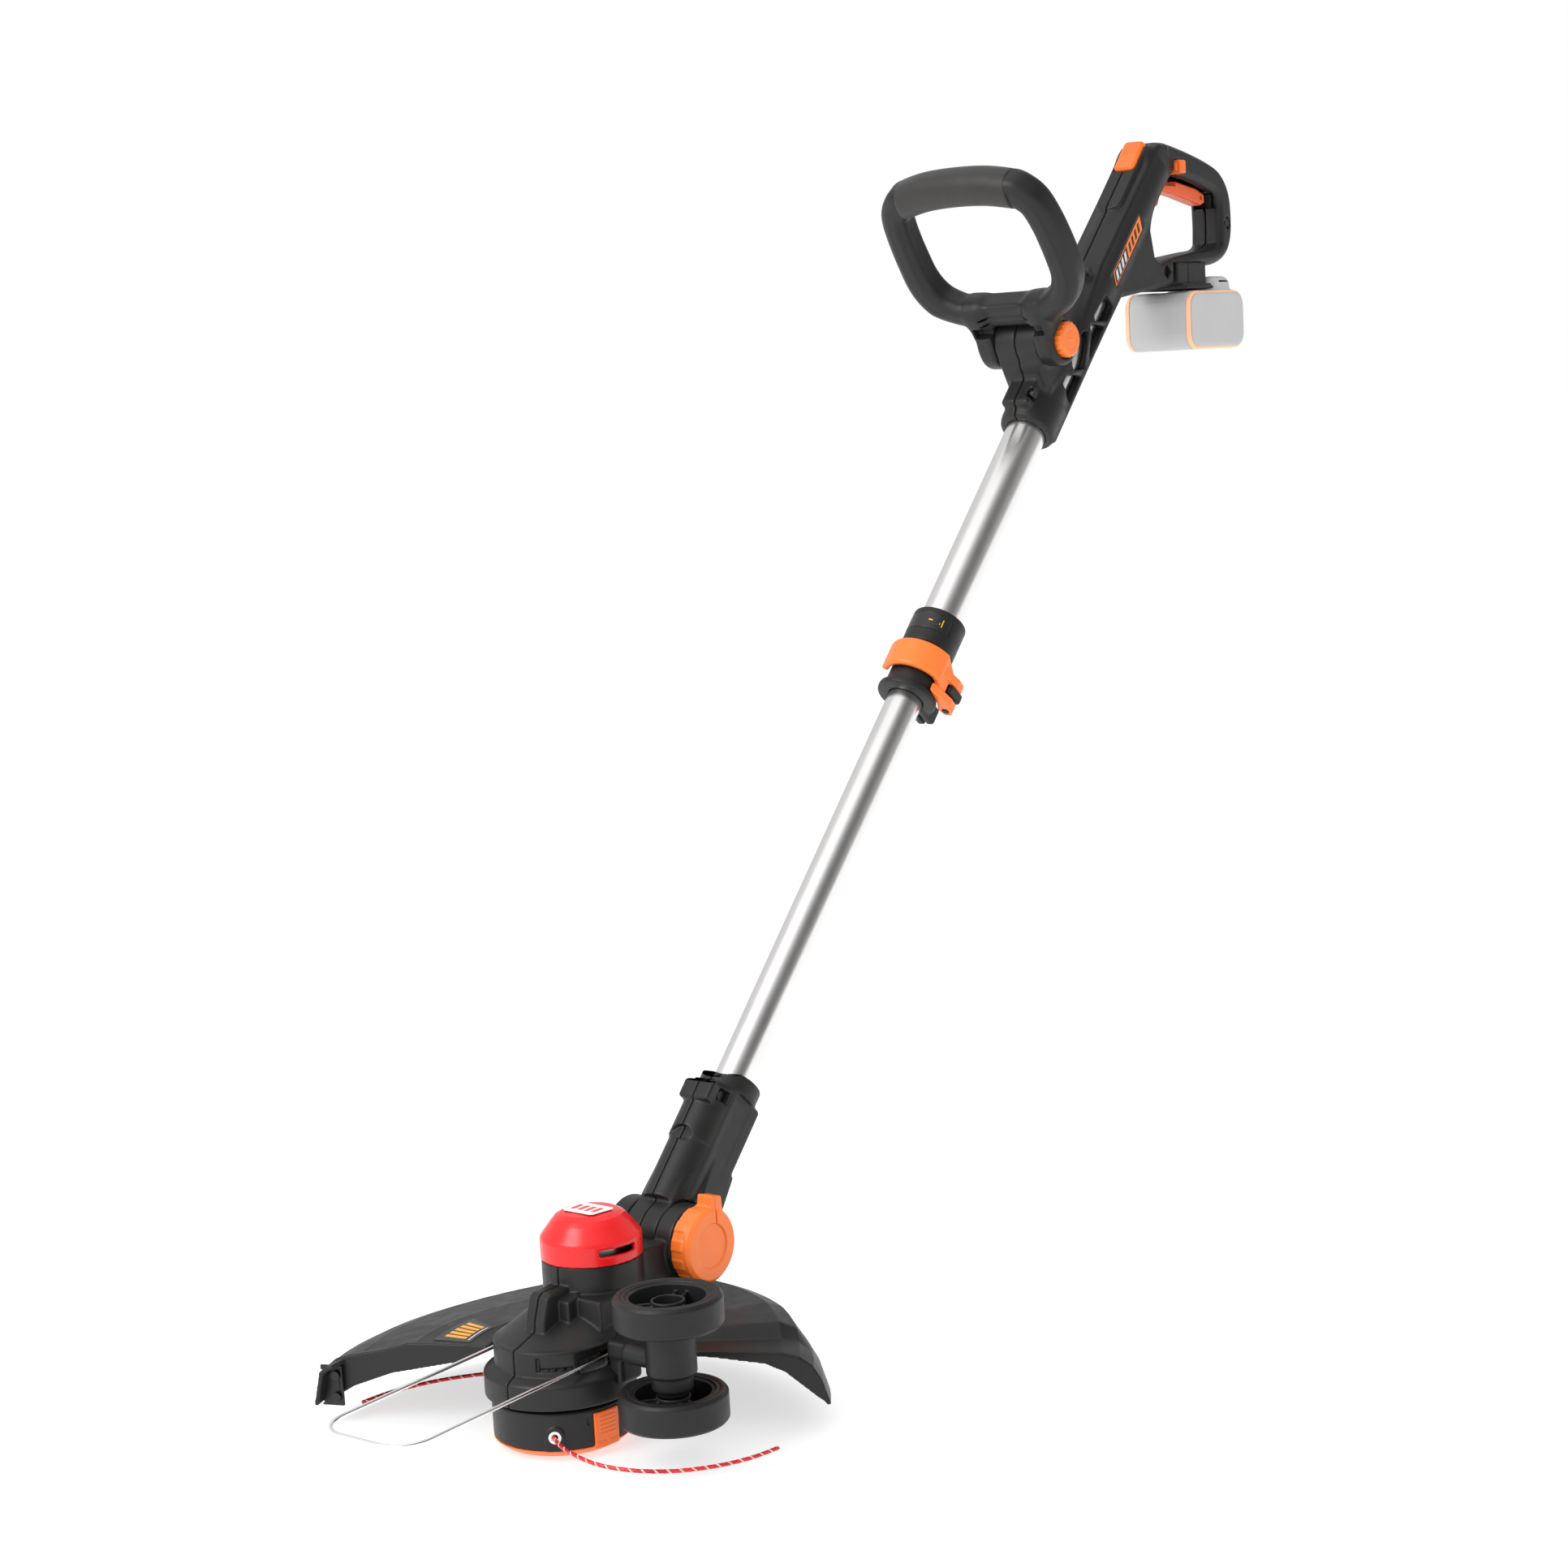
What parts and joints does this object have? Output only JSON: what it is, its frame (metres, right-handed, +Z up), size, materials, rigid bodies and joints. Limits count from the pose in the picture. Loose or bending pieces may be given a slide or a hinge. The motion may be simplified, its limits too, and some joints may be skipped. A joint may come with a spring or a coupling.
{
  "type": "string trimmer",
  "caption": "Cordless string trimmer with telescopic shaft, tilting geared head, edging wheels, guard, front handle, trigger grip and slide-on battery.",
  "frame": {"origin": "foot of the spool cap, on the spool axis", "axes": "+Z up the spool axis, +X back towards the operator, -Y the operator's left, where the wheels are"},
  "size_m": [1.0111, 0.3083, 0.8108],
  "materials": {
    "dark_plastic": "satin moulded",
    "soft_grip": "matt overmould",
    "orange_plastic": "satin moulded",
    "red_plastic": "gloss moulded",
    "tube_alloy": "satin anodised",
    "steel": "machined",
    "brass": "machined",
    "battery_grey": "fine grain",
    "pale_orange": "satin",
    "white_plastic": "satin moulded",
    "board": "lacquered",
    "line_red": "extruded nylon",
    "cell_wrap": "film wrapped",
    "printed_label": "printed film"
  },
  "bodies": {
    "handle": {"handle_shell_left": "dark_plastic", "handle_shell_right": "dark_plastic", "upper_tube": "tube_alloy", "clamp_body": "dark_plastic", "clamp_bush": "white_plastic", "clamp_label": "printed_label", "lever_pin": "steel", "battery_foot": "dark_plastic", "terminal_block": "brass", "switch_body": "soft_grip", "control_board": "board", "handle_screws": "steel", "handle_label": "printed_label"},
    "trigger": {"trigger": "orange_plastic"},
    "lock_button": {"lock_button": "orange_plastic"},
    "boost_button": {"boost_button": "orange_plastic"},
    "clamp_lever": {"clamp_lever": "orange_plastic"},
    "front_handle": {"front_frame": "dark_plastic", "front_grip": "soft_grip", "front_bolt": "steel"},
    "front_knob": {"front_knob": "orange_plastic"},
    "battery": {"battery_case": "battery_grey", "battery_top": "battery_grey", "battery_bands": "pale_orange", "battery_cells": "cell_wrap"},
    "battery_latch": {"battery_latch": "dark_plastic"},
    "carriage": {"guide_bush": "white_plastic"},
    "arm": {"lower_tube": "tube_alloy", "arm_shell_left": "dark_plastic", "arm_shell_right": "dark_plastic", "arm_screws": "steel"},
    "head": {"head_shell_left": "dark_plastic", "head_shell_right": "dark_plastic", "motor_cap": "red_plastic", "cap_plate": "white_plastic", "motor_can": "steel", "pivot_bolt": "steel", "bearings": "steel", "gear_plate": "dark_plastic", "guard": "dark_plastic", "cutter_blade": "steel", "guard_screws": "steel", "guard_label": "printed_label", "wheel_bracket": "dark_plastic", "wheel_axle": "steel"},
    "pivot_knob": {"pivot_knob": "orange_plastic"},
    "wheel_upper": {"wheel_upper": "dark_plastic"},
    "wheel_lower": {"wheel_lower": "dark_plastic"},
    "wire_guard": {"wire_guard": "steel"},
    "spool_drive": {"spindle": "steel", "drive_gear": "white_plastic", "spool_housing": "dark_plastic", "spool_cap": "orange_plastic", "spool": "white_plastic", "spool_spring": "steel", "eyelets": "white_plastic", "line_near": "line_red", "line_far": "line_red"},
    "rotor": {"rotor": "steel", "pinion": "brass"}
  },
  "joints": [
    {"name": "trigger_pull", "type": "hinge", "parent": "handle", "child": "trigger", "pos_m": [0.806, 0, 0.764], "axis": [0, 1, 0], "range_deg": [0, 6], "stiffness_Nm_per_rad": 0.5, "springref_deg": -5.73},
    {"name": "lock_press", "type": "slide", "parent": "handle", "child": "lock_button", "axis": [0, 1, 0], "range_m": [0, 0.005], "stiffness_N_per_m": 300, "springref_m": -0.001},
    {"name": "boost_press", "type": "slide", "parent": "handle", "child": "boost_button", "axis": [0.7335, 0, -0.6797], "range_m": [0, 0.003], "stiffness_N_per_m": 400, "springref_m": -0.001},
    {"name": "lever_swing", "type": "hinge", "parent": "handle", "child": "clamp_lever", "pos_m": [0.41048, -0.0205, 0.40522], "axis": [0.6797, 0, 0.7335], "range_deg": [0, 100]},
    {"name": "front_handle_tilt", "type": "hinge", "parent": "handle", "child": "front_handle", "pos_m": [0.561, 0, 0.657], "axis": [0, 1, 0], "range_deg": [-15, 45]},
    {"name": "front_knob_turn", "type": "hinge", "parent": "front_handle", "child": "front_knob", "pos_m": [0.561, 0, 0.657], "axis": [0, 1, 0], "range_deg": [0, 360]},
    {"name": "battery_slide", "type": "slide", "parent": "handle", "child": "battery", "axis": [1, 0, 0], "range_m": [0, 0.09]},
    {"name": "latch_press", "type": "slide", "parent": "battery", "child": "battery_latch", "axis": [-1, 0, 0], "range_m": [0, 0.004], "stiffness_N_per_m": 300, "springref_m": -0.001},
    {"name": "shaft_telescope", "type": "slide", "parent": "handle", "child": "carriage", "axis": [0.6797, 0, 0.7335], "range_m": [-0.02, 0.18]},
    {"name": "shaft_turn", "type": "hinge", "parent": "carriage", "child": "arm", "pos_m": [0.01074, 0, 0.004], "axis": [0.6797, 0, 0.7335], "range_deg": [0, 90]},
    {"name": "head_tilt", "type": "hinge", "parent": "arm", "child": "head", "pos_m": [0.1008, 0, 0.1012], "axis": [0, 1, 0], "range_deg": [-30, 45]},
    {"name": "pivot_knob_turn", "type": "hinge", "parent": "head", "child": "pivot_knob", "pos_m": [0.1008, 0, 0.1012], "axis": [0, 1, 0], "range_deg": [0, 45]},
    {"name": "wheel_upper_roll", "type": "hinge", "parent": "head", "child": "wheel_upper", "pos_m": [0, -0.092, 0.09], "axis": [0, 0, 1], "continuous": true},
    {"name": "wheel_lower_roll", "type": "hinge", "parent": "head", "child": "wheel_lower", "pos_m": [0, -0.092, 0.03], "axis": [0, 0, 1], "continuous": true},
    {"name": "wire_guard_fold", "type": "hinge", "parent": "head", "child": "wire_guard", "pos_m": [0.02, 0, 0.0588], "axis": [0, 1, 0], "range_deg": [0, 100]},
    {"name": "spool_spin", "type": "hinge", "parent": "head", "child": "spool_drive", "pos_m": [0, 0, 0], "axis": [0, 0, 1], "continuous": true},
    {"name": "rotor_spin", "type": "hinge", "parent": "head", "child": "rotor", "pos_m": [0.035, 0, 0], "axis": [0, 0, 1], "continuous": true}
  ],
  "couplings": [
    {"joint": "rotor_spin", "follows": "spool_spin", "ratio": -4.8333}
  ]
}
